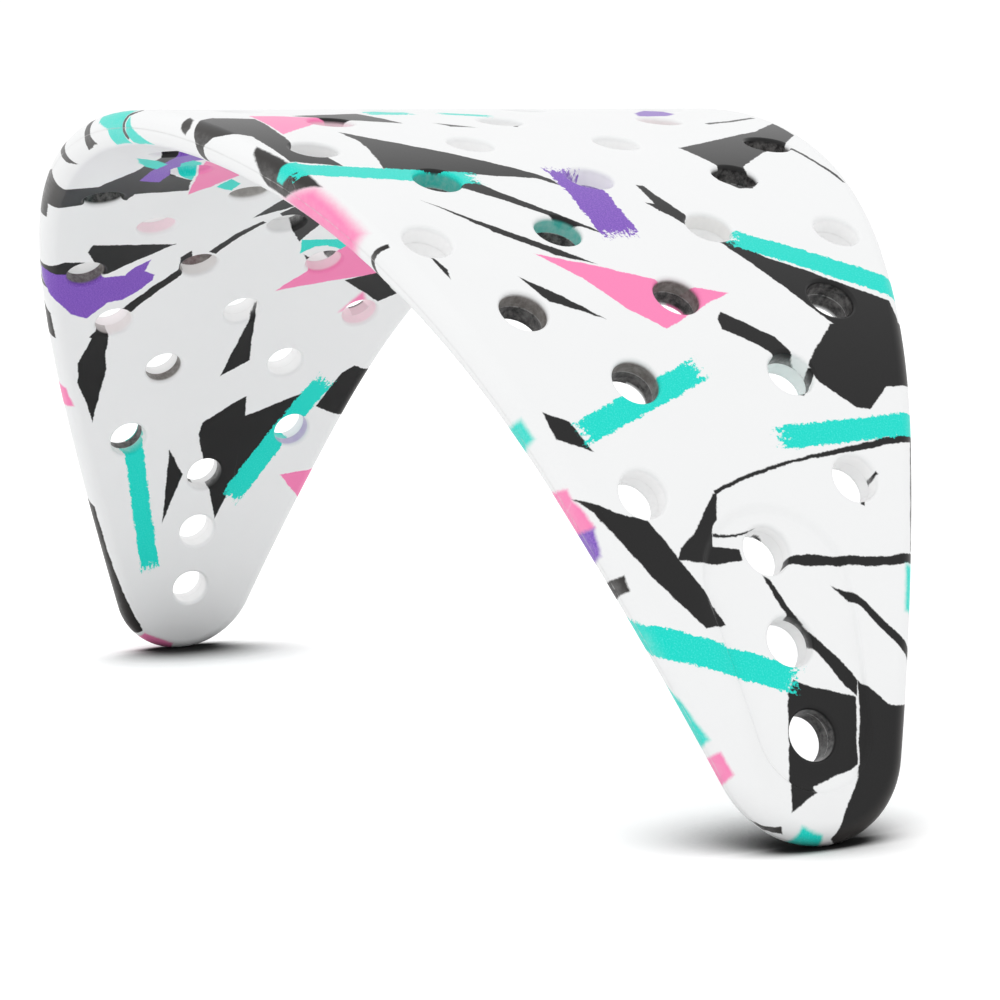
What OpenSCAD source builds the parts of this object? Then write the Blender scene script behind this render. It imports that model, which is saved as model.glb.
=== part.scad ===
// Perforated arched plate with two tapering lobes, standing on its lobe tips.
// Two moulded half shells meet on the mid-thickness of the wall.
// Millimetres, +Z up, lobes along X, ridge along Y, tips on Z = 0.
// s is the distance from the ridge measured along the outer face, t is the distance across it.

/* [Arch profile] */
// Radius of the outer face over the crown
crown_r = 107; // [90:1:130]
// Distance from the ridge to the end of the crown arc
crown_end = 40; // [30:1:48]
// Radius of the outer face over each shoulder
shoulder_r = 74; // [62:1:90]
// Distance from the ridge to the end of the shoulder arc
shoulder_end = 92; // [80:1:98]
// Radius of the outer face down each lobe
lobe_r = 240; // [180:5:400]
// Wall thickness of the two shells together
wall = 4.4; // [3.6:0.1:5.4]

/* [Outline] */
// Half of the width at the ridge
ridge_half = 42.3; // [36:0.1:48]
// Length of the straight pull of the side curve beside the ridge
ridge_pull = 37; // [25:1:50]
// Length of the straight pull of the side curve above the tip
tip_pull = 66; // [50:1:75]
// Slope of the side curve where it meets the tip round, degrees
tip_slope = 19.5; // [14:0.5:24]
// Distance from the ridge to the centre of the tip round
tip_centre = 123.3; // [118:0.1:128]
// Radius of the tip round
tip_r = 11.6; // [10:0.1:14]

/* [Holes] */
// Diameter of every through hole
hole_d = 5.6; // [4.4:0.1:6.4]
// Bevel at each mouth of a hole
mouth = 0.5; // [0.2:0.05:0.6]
// Distance between hole rows over the crown and shoulders
row_pitch = 11.7; // [11:0.1:12.4]
// Distance from the middle of the plate to the first staggered column
column_pitch = 10; // [9:0.1:11]
// Distance of the outer holes of the second row from the middle
second_row_side = 23; // [20:0.5:24]
// Distance of the outer holes of the third row from the middle
third_row_side = 31; // [28:0.5:32]
// Distance of the outer holes of the fifth row from the middle
fifth_row_side = 27; // [24:0.5:28]
// Extra distance from the ridge of the outer holes of the third, fifth and sixth rows
row_lag = 1.4; // [0:0.1:2]
// Distance from the ridge to the pair of holes above the recess
pair_s = 95.4; // [93:0.1:97]
// Distance of that pair from the middle
pair_t = 13.6; // [12.5:0.1:14.5]
// Distance between the three holes of a tip
tip_pitch = 10.3; // [9.5:0.1:11]

/* [Tip recess] */
// Depth of the recess below the outer face
recess_depth = 0.5; // [0.3:0.05:0.8]
// Radius of the recess end nearest the ridge
recess_top_r = 9; // [8:0.1:10]
// Distance from the ridge to the centre of that end
recess_top_s = 107; // [104:0.5:109]
// Radius of the recess end nearest the tip
recess_tip_r = 7; // [6:0.1:8.5]
// Distance from the ridge to the centre of that end
recess_tip_s = 122.5; // [120:0.5:124]

/* [Hidden] */
rad = 180 / PI;
round_r = wall / 2;
crown_turn = crown_end / crown_r * rad;
shoulder_turn = crown_turn + (shoulder_end - crown_end) / shoulder_r * rad;
side_steps = 40;
tip_steps = 9;
round_steps = 5;
hole_faces = 48;
past = 4;
shell_color = [0.96, 0.97, 0.97];
back_color = [0.93, 0.94, 0.94];

// Slope of the outer face below horizontal at distance a from the ridge.
function turn(a) = a <= crown_end ? a / crown_r * rad
    : a <= shoulder_end ? crown_turn + (a - crown_end) / shoulder_r * rad
    : shoulder_turn + (a - shoulder_end) / lobe_r * rad;

// Distance of the outer face from the middle, and its drop below the ridge.
function reach(a) = a <= crown_end ? crown_r * sin(turn(a))
    : a <= shoulder_end ? crown_r * sin(crown_turn) + shoulder_r * (sin(turn(a)) - sin(crown_turn))
    : reach(shoulder_end) + lobe_r * (sin(turn(a)) - sin(shoulder_turn));
function drop(a) = a <= crown_end ? crown_r * (1 - cos(turn(a)))
    : a <= shoulder_end ? drop(crown_end) + shoulder_r * (cos(crown_turn) - cos(turn(a)))
    : drop(shoulder_end) + lobe_r * (cos(shoulder_turn) - cos(turn(a)));

// Point at depth below the outer face, with the ridge at height 0.
function bent(s, t, depth) = [
    sign(s) * (reach(abs(s)) - depth * sin(turn(abs(s)))),
    t,
    -drop(abs(s)) - depth * cos(turn(abs(s)))
];

// Side curve from the ridge to the tip round, with its outward direction.
tip_start = [tip_centre + tip_r * sin(tip_slope), tip_r * cos(tip_slope)];
pull_a = [ridge_pull, ridge_half];
pull_b = tip_start + tip_pull * [-cos(tip_slope), sin(tip_slope)];
function blend(a, b, c, d, u) =
    a * pow(1 - u, 3) + 3 * b * u * pow(1 - u, 2) + 3 * c * u * u * (1 - u) + d * pow(u, 3);
function blend_dir(a, b, c, d, u) =
    (b - a) * pow(1 - u, 2) + 2 * (c - b) * u * (1 - u) + (d - c) * u * u;
function left_of(v) = [-v[1], v[0]] / norm(v);
function side_point(u) = blend([0, ridge_half], pull_a, pull_b, tip_start, u);
function side_out(u) = left_of(blend_dir([0, ridge_half], pull_a, pull_b, tip_start, u));

// One quarter of the outline from the tip to just before the ridge, as [point, outward].
quarter = concat(
    [for (i = [0 : tip_steps - 1])
        let (a = i / tip_steps * (90 - tip_slope))
        [[tip_centre + tip_r * cos(a), tip_r * sin(a)], [cos(a), sin(a)]]],
    [for (i = [side_steps : -1 : 1])
        [side_point(i / side_steps), side_out(i / side_steps)]]
);
ridge_point = [[[0, ridge_half], [0, 1]]];
function flip(list, fs, ft) = [for (e = list)
    [[e[0][0] * fs, e[0][1] * ft], [e[1][0] * fs, e[1][1] * ft]]];
function backwards(list) = [for (i = [len(list) - 1 : -1 : 0]) list[i]];
function rest_of(list) = [for (i = [1 : len(list) - 1]) list[i]];

// Whole outline as a loop that starts on one tip and runs round by the other tip.
loop = concat(
    quarter,
    ridge_point,
    backwards(flip(quarter, -1, 1)),
    rest_of(flip(quarter, -1, -1)),
    flip(ridge_point, 1, -1),
    backwards(rest_of(flip(quarter, 1, -1)))
);
count = len(loop);

// Ring of points at rounding angle a: 0 on the seam, 90 on the outer face, -90 on the inner face.
function ring(a) = [for (e = loop)
    let (q = e[0] - e[1] * round_r * (1 - cos(a)))
    bent(q[0], q[1], round_r * (1 - sin(a)))];

// Height of the ridge when the lowest point of the tips is on the floor.
ridge_z = -min([for (j = [0 : round_steps]) min([for (p = ring(-90 * j / round_steps)) p[2]])]);

// Strips across the plate between the two sides of a ring.
function cap(base, up) = [for (k = [0 : count / 2 - 1])
    let (a = base + k)
    let (b = base + k + 1)
    let (c = base + (count - k - 1) % count)
    let (d = base + (count - k) % count)
    let (f = b == c ? [a, b, d] : a == d ? [a, b, c] : [a, b, c, d])
    up ? backwards(f) : f];
function wall_faces(rings) = [for (j = [0 : rings - 2]) for (k = [0 : count - 1])
    for (f = [[0, 1, 2], [0, 2, 3]])
    let (q = [j * count + k, j * count + (k + 1) % count,
        (j + 1) * count + (k + 1) % count, (j + 1) * count + k])
    [q[f[2]], q[f[1]], q[f[0]]]];

// Solid between the ring at angle low and the ring at angle high.
module plate(low, high) {
    points = [for (j = [0 : round_steps])
        for (p = ring(low + (high - low) * j / round_steps)) p];
    faces = concat(
        cap(0, false),
        wall_faces(round_steps + 1),
        cap(round_steps * count, true)
    );
    translate([0, 0, ridge_z])
        polyhedron(points = points, faces = faces, convexity = 4);
}

// Places its child on the outer face with its own +Z pointing outward.
module on_face(s, t) {
    p = bent(s, t, 0);
    translate([p[0], p[1], p[2] + ridge_z])
        rotate([0, sign(s) * turn(abs(s)), 0])
            children();
}

// Hole places over one half, as [s, t, depth of the outer mouth].
// Each lattice row is [row number, distances from the middle, how far its outer holes lag].
lattice = [
    [0, [0, 2 * column_pitch], 0],
    [1, [column_pitch, 3 * column_pitch], 0],
    [2, [0, second_row_side], 0],
    [3, [column_pitch, third_row_side], row_lag],
    [4, [0, 2 * column_pitch], 0],
    [5, [column_pitch, fifth_row_side], row_lag],
    [6, [0, 2 * column_pitch], row_lag],
    [7, [column_pitch], 0]
];
half_holes = concat(
    [for (row = lattice) for (t = row[1])
        [row[0] * row_pitch + (t > column_pitch ? row[2] : 0), t, 0]],
    [[pair_s, pair_t, 0]],
    [for (i = [0 : 2]) [tip_centre - i * tip_pitch, 0, recess_depth]]
);
holes = [for (h = half_holes) for (side = h[0] == 0 ? [1] : [1, -1]) for (way = h[1] == 0 ? [1] : [1, -1])
    [h[0] * side, h[1] * way, h[2]]];

// Straight bores through the whole wall.
module bores() {
    for (h = holes)
        on_face(h[0], h[1])
            translate([0, 0, -wall - past])
                cylinder(h = wall + 2 * past, d = hole_d, $fn = hole_faces);
}

// Bevels at the outer mouths.
module outer_mouths() {
    for (h = holes)
        on_face(h[0], h[1])
            translate([0, 0, -h[2] - mouth])
                cylinder(h = 2 * mouth, d1 = hole_d, d2 = hole_d + 4 * mouth, $fn = hole_faces);
}

// Bevels at the inner mouths.
module inner_mouths() {
    for (h = holes)
        on_face(h[0], h[1])
            translate([0, 0, -wall - mouth])
                cylinder(h = 2 * mouth, d1 = hole_d + 4 * mouth, d2 = hole_d, $fn = hole_faces);
}

// Recess in the outer face of one tip, with its floor parallel to that face.
module recess(side) {
    lean = asin((recess_top_r - recess_tip_r) / (recess_tip_s - recess_top_s));
    p = bent(shoulder_end, 0, lobe_r);
    middle = (recess_top_s + recess_tip_s) / 2;
    top = recess_top_s - middle;
    tip = recess_tip_s - middle;
    difference() {
        on_face(side * middle, 0)
            rotate([0, 0, side > 0 ? 0 : 180])
                translate([0, 0, -recess_depth - 1])
                    union() {
                        translate([top, 0, 0])
                            cylinder(h = recess_depth + 1 + past, r = recess_top_r, $fn = 2 * hole_faces);
                        translate([tip, 0, 0])
                            cylinder(h = recess_depth + 1 + past, r = recess_tip_r, $fn = 2 * hole_faces);
                        linear_extrude(height = recess_depth + 1 + past)
                            polygon([
                                [top + recess_top_r * sin(lean), -recess_top_r * cos(lean)],
                                [tip + recess_tip_r * sin(lean), -recess_tip_r * cos(lean)],
                                [tip + recess_tip_r * sin(lean), recess_tip_r * cos(lean)],
                                [top + recess_top_r * sin(lean), recess_top_r * cos(lean)]
                            ]);
                    }
        translate([side * p[0], 0, p[2] + ridge_z])
            rotate([90, 0, 0])
                cylinder(h = 4 * recess_top_r, r = lobe_r - recess_depth, center = true, $fn = 720);
    }
}

// Outer half of the wall, with the recesses and the outer mouths.
module outer_shell() {
    color(shell_color)
        difference() {
            plate(0, 90);
            bores();
            outer_mouths();
            recess(1);
            recess(-1);
        }
}

// Inner half of the wall, with the inner mouths.
module inner_shell() {
    color(back_color)
        difference() {
            plate(-90, 0);
            bores();
            inner_mouths();
        }
}

outer_shell();
inner_shell();
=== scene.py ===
"""Looks of the perforated arched plate: two printed half shells, a pale floor, lights and a camera.

Lengths in the drawing of the plate are millimetres on its outer face: s is the distance from the
ridge along the face, positive towards +X, and t is the distance across it, towards +Y.
"""
import math

import bpy
import numpy as np
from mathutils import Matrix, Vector
from mathutils.geometry import delaunay_2d_cdt, tessellate_polygon


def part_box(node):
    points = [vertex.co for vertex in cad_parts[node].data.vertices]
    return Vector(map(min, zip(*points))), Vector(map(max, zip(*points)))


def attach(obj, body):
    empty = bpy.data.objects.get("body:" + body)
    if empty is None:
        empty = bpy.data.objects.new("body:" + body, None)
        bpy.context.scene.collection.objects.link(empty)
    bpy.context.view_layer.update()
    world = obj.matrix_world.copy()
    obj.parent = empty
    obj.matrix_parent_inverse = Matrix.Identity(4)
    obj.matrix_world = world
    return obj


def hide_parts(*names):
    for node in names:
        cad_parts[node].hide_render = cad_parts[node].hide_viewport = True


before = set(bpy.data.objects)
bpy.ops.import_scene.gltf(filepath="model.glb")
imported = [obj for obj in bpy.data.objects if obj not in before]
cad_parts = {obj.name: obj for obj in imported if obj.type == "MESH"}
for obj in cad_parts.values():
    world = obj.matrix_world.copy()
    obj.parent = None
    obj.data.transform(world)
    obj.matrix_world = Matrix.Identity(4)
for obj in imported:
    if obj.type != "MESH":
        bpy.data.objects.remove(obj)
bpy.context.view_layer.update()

MM = 0.001
RIDGE_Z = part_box("outer_shell")[1].z

# Arch profile, outline and holes, the same driving dimensions as the CAD part.
CROWN_R = 107.0
CROWN_END = 40.0
SHOULDER_R = 74.0
SHOULDER_END = 92.0
LOBE_R = 240.0
WALL = 4.4
RIDGE_HALF = 42.3
RIDGE_PULL = 37.0
TIP_PULL = 66.0
TIP_SLOPE = math.radians(19.5)
TIP_CENTRE = 123.3
TIP_R = 11.6
HOLE_R = 2.8
MOUTH = 0.5
ROW = 11.7
LAG = 1.4
RECESS_DEPTH = 0.5
RECESS_TOP = (107.0, 9.0)
RECESS_TIP = (122.5, 7.0)
RECESS_START = 90.0
RECESS_FADE = (98.0, 112.0)
RECESS_SOFT = 1.5
RECESS_CRISP = 0.5

# Fineness of the two meshes.
SIDE_STEPS = 88
TIP_STEPS = 16
ROUND_STEPS = 9
MOUTH_STEPS = 4
HOLE_STEPS = 40
RECESS_TOP_STEPS = 60
RECESS_SIDE_STEPS = 24
RECESS_TIP_STEPS = 40
WALL_RINGS = (0.35, 0.8, 1.3)
GRID = 2.1
GRID_ROW = 0.87
GRID_CLEAR = 0.55
HOLE_COLLAR = 0.9
SLOPE_STEP = 0.05

# The fine groove where the halves meet, and how the film runs over the rim and into the holes.
SEAM_GAP = 0.01
SEAM_DEPTH = 0.025
SEAM_HALF = 0.06
OVERLAP = 1.0
FILM_CREEP = 0.35

CROWN_TURN = CROWN_END / CROWN_R
SHOULDER_TURN = CROWN_TURN + (SHOULDER_END - CROWN_END) / SHOULDER_R


# ---------------------------------------------------------------- shape of the plate

def turn(s):
    """Slope of the outer face below horizontal, in radians, with the sign of s."""
    a = abs(s)
    if a <= CROWN_END:
        angle = a / CROWN_R
    elif a <= SHOULDER_END:
        angle = CROWN_TURN + (a - CROWN_END) / SHOULDER_R
    else:
        angle = SHOULDER_TURN + (a - SHOULDER_END) / LOBE_R
    return math.copysign(angle, s)


def reach_and_drop(s):
    """Distance of the outer face from the middle and below the ridge."""
    angle = abs(turn(s))
    first = min(angle, CROWN_TURN)
    reach = CROWN_R * math.sin(first)
    drop = CROWN_R * (1 - math.cos(first))
    if angle > CROWN_TURN:
        second = min(angle, SHOULDER_TURN)
        reach += SHOULDER_R * (math.sin(second) - math.sin(CROWN_TURN))
        drop += SHOULDER_R * (math.cos(CROWN_TURN) - math.cos(second))
    if angle > SHOULDER_TURN:
        reach += LOBE_R * (math.sin(angle) - math.sin(SHOULDER_TURN))
        drop += LOBE_R * (math.cos(SHOULDER_TURN) - math.cos(angle))
    return math.copysign(reach, s), drop


def place(s, t, depth):
    """Point in metres at a depth below the outer face."""
    angle = turn(s)
    reach, drop = reach_and_drop(s)
    x = reach - depth * math.sin(angle)
    z = -drop - depth * math.cos(angle)
    return (x * MM, t * MM, z * MM + RIDGE_Z)


def facing(s, along, across, out):
    """Direction with those parts along the face, across it and out of it."""
    angle = turn(s)
    x = along * math.cos(angle) + out * math.sin(angle)
    z = out * math.cos(angle) - along * math.sin(angle)
    return Vector((x, across, z)).normalized()


def quarter_outline():
    """Points and outward directions from the ridge to the tip, for s >= 0 and t >= 0."""
    start = Vector((TIP_CENTRE + TIP_R * math.sin(TIP_SLOPE), TIP_R * math.cos(TIP_SLOPE)))
    ends = [
        Vector((0, RIDGE_HALF)),
        Vector((RIDGE_PULL, RIDGE_HALF)),
        start + TIP_PULL * Vector((-math.cos(TIP_SLOPE), math.sin(TIP_SLOPE))),
        start,
    ]
    found = []
    for step in range(SIDE_STEPS):
        u = step / SIDE_STEPS
        v = 1 - u
        point = ends[0] * v**3 + ends[1] * 3 * u * v * v + ends[2] * 3 * u * u * v + ends[3] * u**3
        run = (ends[1] - ends[0]) * v * v + (ends[2] - ends[1]) * 2 * u * v + (ends[3] - ends[2]) * u * u
        found.append((point, Vector((-run.y, run.x)).normalized()))
    for step in range(TIP_STEPS + 1):
        angle = (math.pi / 2 - TIP_SLOPE) * (1 - step / TIP_STEPS)
        out = Vector((math.cos(angle), math.sin(angle)))
        found.append((Vector((TIP_CENTRE, 0)) + TIP_R * out, out))
    return found


def whole_outline():
    """The closed outline, counter-clockwise in (s, t), as points and outward directions."""
    quarter = quarter_outline()

    def mirrored(pairs, s_sign, t_sign):
        return [
            (Vector((p.x * s_sign, p.y * t_sign)), Vector((o.x * s_sign, o.y * t_sign)))
            for p, o in pairs
        ]

    loop = mirrored(quarter[::-1], 1, 1)
    loop += mirrored(quarter[1:], -1, 1)
    loop += mirrored(quarter[::-1][1:], -1, -1)
    loop += mirrored(quarter[1:-1], 1, -1)
    return loop


def hole_centres():
    """Centres of all 59 holes."""
    quarter = [
        (0, 0), (0, 20), (ROW, 10), (ROW, 30), (2 * ROW, 0), (2 * ROW, 23),
        (3 * ROW, 10), (3 * ROW + LAG, 31), (4 * ROW, 0), (4 * ROW, 20),
        (5 * ROW, 10), (5 * ROW + LAG, 27), (6 * ROW, 0), (6 * ROW + LAG, 20),
        (7 * ROW, 10), (95.4, 13.6), (102.7, 0), (113.0, 0), (123.3, 0),
    ]
    return sorted({(a * s, b * t) for s, t in quarter for a in (1, -1) for b in (1, -1)})


def recess_distance(s, t):
    """Signed distance to the edge of the tip recess, negative inside it."""
    top_s, top_r = RECESS_TOP
    tip_s, tip_r = RECESS_TIP
    run = tip_s - top_s
    lean = (top_r - tip_r) / run
    up = math.sqrt(1 - lean * lean)
    x = abs(t)
    y = abs(s) - top_s
    side = -lean * x + up * y
    if side < 0:
        return math.hypot(x, y) - top_r
    if side > up * run:
        return math.hypot(x, y - run) - tip_r
    return x * up + y * lean - top_r


def recess_width(s):
    """Width of the recess step: soft at the end nearest the ridge, crisp at the tip."""
    start, end = RECESS_FADE
    u = min(max((abs(s) - start) / (end - start), 0), 1)
    return RECESS_SOFT - (RECESS_SOFT - RECESS_CRISP) * u


def recess_depth(s, t):
    """Depth of the outer face at a point, 0 away from the recess."""
    if abs(s) < RECESS_START:
        return 0.0
    u = min(max(0.5 - recess_distance(s, t) / recess_width(s), 0), 1)
    return RECESS_DEPTH * u * u * (3 - 2 * u)


def recess_rings():
    """Closed loops of points that follow the recess step on the lobe with s > 0."""
    top_s, top_r = RECESS_TOP
    tip_s, tip_r = RECESS_TIP
    first = math.acos((top_r - tip_r) / (tip_s - top_s))
    stops = []
    for step in range(RECESS_TOP_STEPS):
        stops.append((0, first + (2 * math.pi - 2 * first) * step / RECESS_TOP_STEPS))
    for step in range(RECESS_SIDE_STEPS):
        stops.append((step / RECESS_SIDE_STEPS, -first))
    for step in range(RECESS_TIP_STEPS):
        stops.append((1, -first + 2 * first * step / RECESS_TIP_STEPS))
    for step in range(RECESS_SIDE_STEPS):
        stops.append((1 - step / RECESS_SIDE_STEPS, first))
    rings = []
    for part in (-0.5, -0.25, 0, 0.25, 0.5):
        ring = []
        for u, angle in stops:
            middle = top_s + (tip_s - top_s) * u
            radius = top_r + (tip_r - top_r) * u
            radius += part * recess_width(middle + radius * math.cos(angle))
            ring.append((middle + radius * math.cos(angle), radius * math.sin(angle)))
        rings.append(ring)
    return rings


# ---------------------------------------------------------------- meshes of the two halves

OUTLINE = whole_outline()
HOLES = hole_centres()


def ring_around(centre, radius, count):
    """Points of a circle, counter-clockwise."""
    angles = [2 * math.pi * step / count for step in range(count)]
    return [(centre[0] + radius * math.cos(a), centre[1] + radius * math.sin(a)) for a in angles]


def flat_layout(with_recess):
    """Triangles of the flat part of a face: points, the outline loop, the hole loops, triangles."""
    inset = [p - o * WALL / 2 for p, o in OUTLINE]
    points = [tuple(p) for p in inset]
    outline = list(range(len(points)))
    loops = [outline]
    holes = []
    for centre in HOLES:
        start = len(points)
        points += ring_around(centre, HOLE_R + MOUTH, HOLE_STEPS)
        holes.append(list(range(start, len(points))))
    loops += holes
    if with_recess:
        for ring in recess_rings():
            for way in (1, -1):
                start = len(points)
                points += [(s * way, t * way) for s, t in ring]
                loops.append(list(range(start, len(points))))
    for centre in HOLES:
        points += ring_around(centre, HOLE_R + MOUTH + HOLE_COLLAR, HOLE_STEPS // 2)
    fixed = np.array(points)
    centres = np.array(HOLES)
    rows = int(2 * RIDGE_HALF / (GRID * GRID_ROW)) + 1
    columns = int(2 * (TIP_CENTRE + TIP_R) / GRID) + 1
    for row in range(rows):
        for column in range(columns):
            s = (column - columns / 2 + 0.5 * (row % 2)) * GRID
            t = (row - rows / 2 + 0.5) * GRID * GRID_ROW
            gaps = np.hypot(fixed[:, 0] - s, fixed[:, 1] - t)
            inside = np.hypot(centres[:, 0] - s, centres[:, 1] - t).min() < HOLE_R + MOUTH
            if gaps.min() > GRID_CLEAR * GRID and not inside:
                points.append((s, t))
    edges = [(a, b) for loop in loops for a, b in zip(loop, loop[1:] + loop[:1])]
    found = delaunay_2d_cdt([Vector(p) for p in points], edges, [], 1, 1e-6)
    spots = [tuple(p) for p in found[0]]
    source = {}
    for new, old in enumerate(found[3]):
        for index in old:
            source[index] = new
    owner = {}
    for number, loop in enumerate(holes):
        for index in loop:
            owner[source[index]] = number
    triangles = []
    for face in found[2]:
        owners = {owner.get(index) for index in face}
        if len(owners) > 1 or None in owners:
            triangles.append(tuple(face))
    return (
        spots,
        [source[i] for i in outline],
        [[source[i] for i in loop] for loop in holes],
        triangles,
    )


def half_shell(name, outer, tones):
    """One moulded half, from its face to the middle of the wall, as a closed mesh.

    film holds (s, t, 0) of the printed film, which runs on round the rim and into the holes.
    over holds the same for the film that comes over the rim from the other half.
    edge holds how far round the rim, how far down a hole wall and how deep in the wall a point is.
    tone holds the colour that the film takes inside each hole, with its strength.
    """
    spots, outline, holes, triangles = flat_layout(outer)
    inward = 1 if outer else -1
    middle = WALL / 2 - inward * SEAM_GAP
    round_r = WALL / 2
    points = []
    normals = []
    films = []
    overs = []
    edges = []
    colours = []

    def add(spot, way, lean, sink, film, rim, wall, colour=(0, 0, 0, 0), over=None):
        """A point at sink below the face, or on the middle of the wall where sink is None.

        way is its outward direction in the plane of the face, and lean is the share of that
        direction in its normal.
        """
        face = recess_depth(*spot) if outer else WALL
        depth = middle if sink is None else face + inward * sink
        points.append(place(spot[0], spot[1], depth))
        up = math.sqrt(max(1 - lean * lean, 0)) * inward
        if sink == 0 and outer and abs(spot[0]) > RECESS_START:
            slope_s = (recess_depth(spot[0] + SLOPE_STEP, spot[1]) - face) / SLOPE_STEP
            slope_t = (recess_depth(spot[0], spot[1] + SLOPE_STEP) - face) / SLOPE_STEP
            normals.append(facing(spot[0], slope_s, slope_t, 1))
        else:
            normals.append(facing(spot[0], way[0] * lean, way[1] * lean, up))
        films.append((film[0], film[1], 0))
        over = over or film
        overs.append((over[0], over[1], 0))
        edges.append((rim, wall, depth))
        colours.append(colour)
        return len(points) - 1

    used = sorted({index for face in triangles for index in face})
    front = {index: add(spots[index], (0, 0), 0, 0, spots[index], 0, 0) for index in used}
    on_loops = set(outline).union(*holes)
    back = {
        index: add(spots[index], (0, 0), 0, None, spots[index], 0, round_r)
        for index in used if index not in on_loops
    }
    faces = [tuple(front[i] for i in face) for face in triangles]

    def join(first, second, from_inside):
        """A strip of quads between two loops, facing out of the plate."""
        for a, b, c, d in zip(first, first[1:] + first[:1], second, second[1:] + second[:1]):
            faces.append((a, c, d, b) if from_inside else (a, b, d, c))

    flats = [(p, o, p - o * round_r) for p, o in OUTLINE]
    last = [front[i] for i in outline]
    for step in range(1, ROUND_STEPS + 1):
        angle = math.pi / 2 * step / ROUND_STEPS
        sink = min(round_r * (1 - math.cos(angle)), round_r - SEAM_HALF)
        loop = []
        for p, o, start in flats:
            film = start + o * (round_r * angle)
            over = start + o * (round_r * (math.pi - angle))
            loop.append(add(start + o * round_r * math.sin(angle), o, math.sin(angle),
                            sink, film, round_r * angle, 0, over=over))
        join(last, loop, True)
        last = loop
    loop = [
        add(p - o * SEAM_DEPTH, o, 1, None, start + o * (round_r * math.pi / 2),
            round_r * math.pi / 2, 0)
        for p, o, start in flats
    ]
    join(last, loop, True)
    back.update(zip(outline, loop))

    sinks = [MOUTH + ring for ring in WALL_RINGS]
    for centre, hole in zip(HOLES, holes):
        ways = [Vector(way) for way in ring_around((0, 0), 1, HOLE_STEPS)]
        centre = Vector(centre)
        colour = tones.get((round(centre.x), round(centre.y)), (0, 0, 0, 0))
        last = [front[i] for i in hole]
        face = recess_depth(*centre) if outer else 0
        deep = round_r - face - SEAM_HALF
        steps = []
        for step in range(1, MOUTH_STEPS + 1):
            angle = math.pi / 2 * step / MOUTH_STEPS
            steps.append((HOLE_R + MOUTH * (1 - math.sin(angle)), MOUTH * (1 - math.cos(angle)),
                          math.sin(angle)))
        steps += [(HOLE_R, sink, 1) for sink in sinks if sink < deep]
        steps.append((HOLE_R, deep, 1))
        for radius, sink, lean in steps:
            loop = []
            for way in ways:
                film = centre + way * (radius - FILM_CREEP * sink)
                loop.append(add(centre + way * radius, -way, lean, sink, film, 0, sink, colour))
            join(last, loop, False)
            last = loop
        loop = [
            add(centre + way * (HOLE_R + SEAM_DEPTH), -way, 1, None,
                centre + way * (HOLE_R - FILM_CREEP * deep), 0, round_r, colour)
            for way in ways
        ]
        join(last, loop, False)
        back.update(zip(hole, loop))
    faces += [tuple(back[i] for i in reversed(face)) for face in triangles]

    if not outer:
        faces = [face[::-1] for face in faces]
    mesh = bpy.data.meshes.new(name)
    mesh.from_pydata(points, [], faces)
    mesh.shade_smooth()
    for title, kind, values, field in (
        ("film", "FLOAT_VECTOR", films, "vector"),
        ("over", "FLOAT_VECTOR", overs, "vector"),
        ("edge", "FLOAT_VECTOR", edges, "vector"),
        ("tone", "FLOAT_COLOR", colours, "color"),
    ):
        layer = mesh.attributes.new(title, kind, "POINT")
        layer.data.foreach_set(field, np.array(values, np.float32).ravel())
    mesh.normals_split_custom_set_from_vertices(normals)
    mesh.validate()
    piece = bpy.data.objects.new(name, mesh)
    bpy.context.scene.collection.objects.link(piece)
    return piece


# ---------------------------------------------------------------- the printed film

# Overlaps that keep gaps from showing: between the pieces of a line, and of a cut-up polygon.
LINE_OVERLAP = 0.1
CUT_SPREAD = 0.12
# Corners whose sides run this nearly back on each other are capped, as a share of 1.
SHARP_CORNER = 0.6


def polygon(*corners, soft=1.0):
    """A printed shape with straight sides; soft above 1 makes its edge fade."""
    return {"corners": [Vector(c) for c in corners], "soft": soft}


def line(*stops, width=0.5, end_width=None):
    """A printed crack: short straight pieces that overlap, from one width to another."""
    end_width = width if end_width is None else end_width
    pieces = []
    for number, (a, b) in enumerate(zip(stops, stops[1:])):
        a, b = Vector(a), Vector(b)
        run = (b - a).normalized()
        side = Vector((-run.y, run.x))
        begin = width + (end_width - width) * number / (len(stops) - 1)
        finish = width + (end_width - width) * (number + 1) / (len(stops) - 1)
        a -= run * LINE_OVERLAP
        b += run * LINE_OVERLAP
        pieces.append(polygon(a + side * begin / 2, a - side * begin / 2,
                              b - side * finish / 2, b + side * finish / 2))
    return pieces


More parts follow.
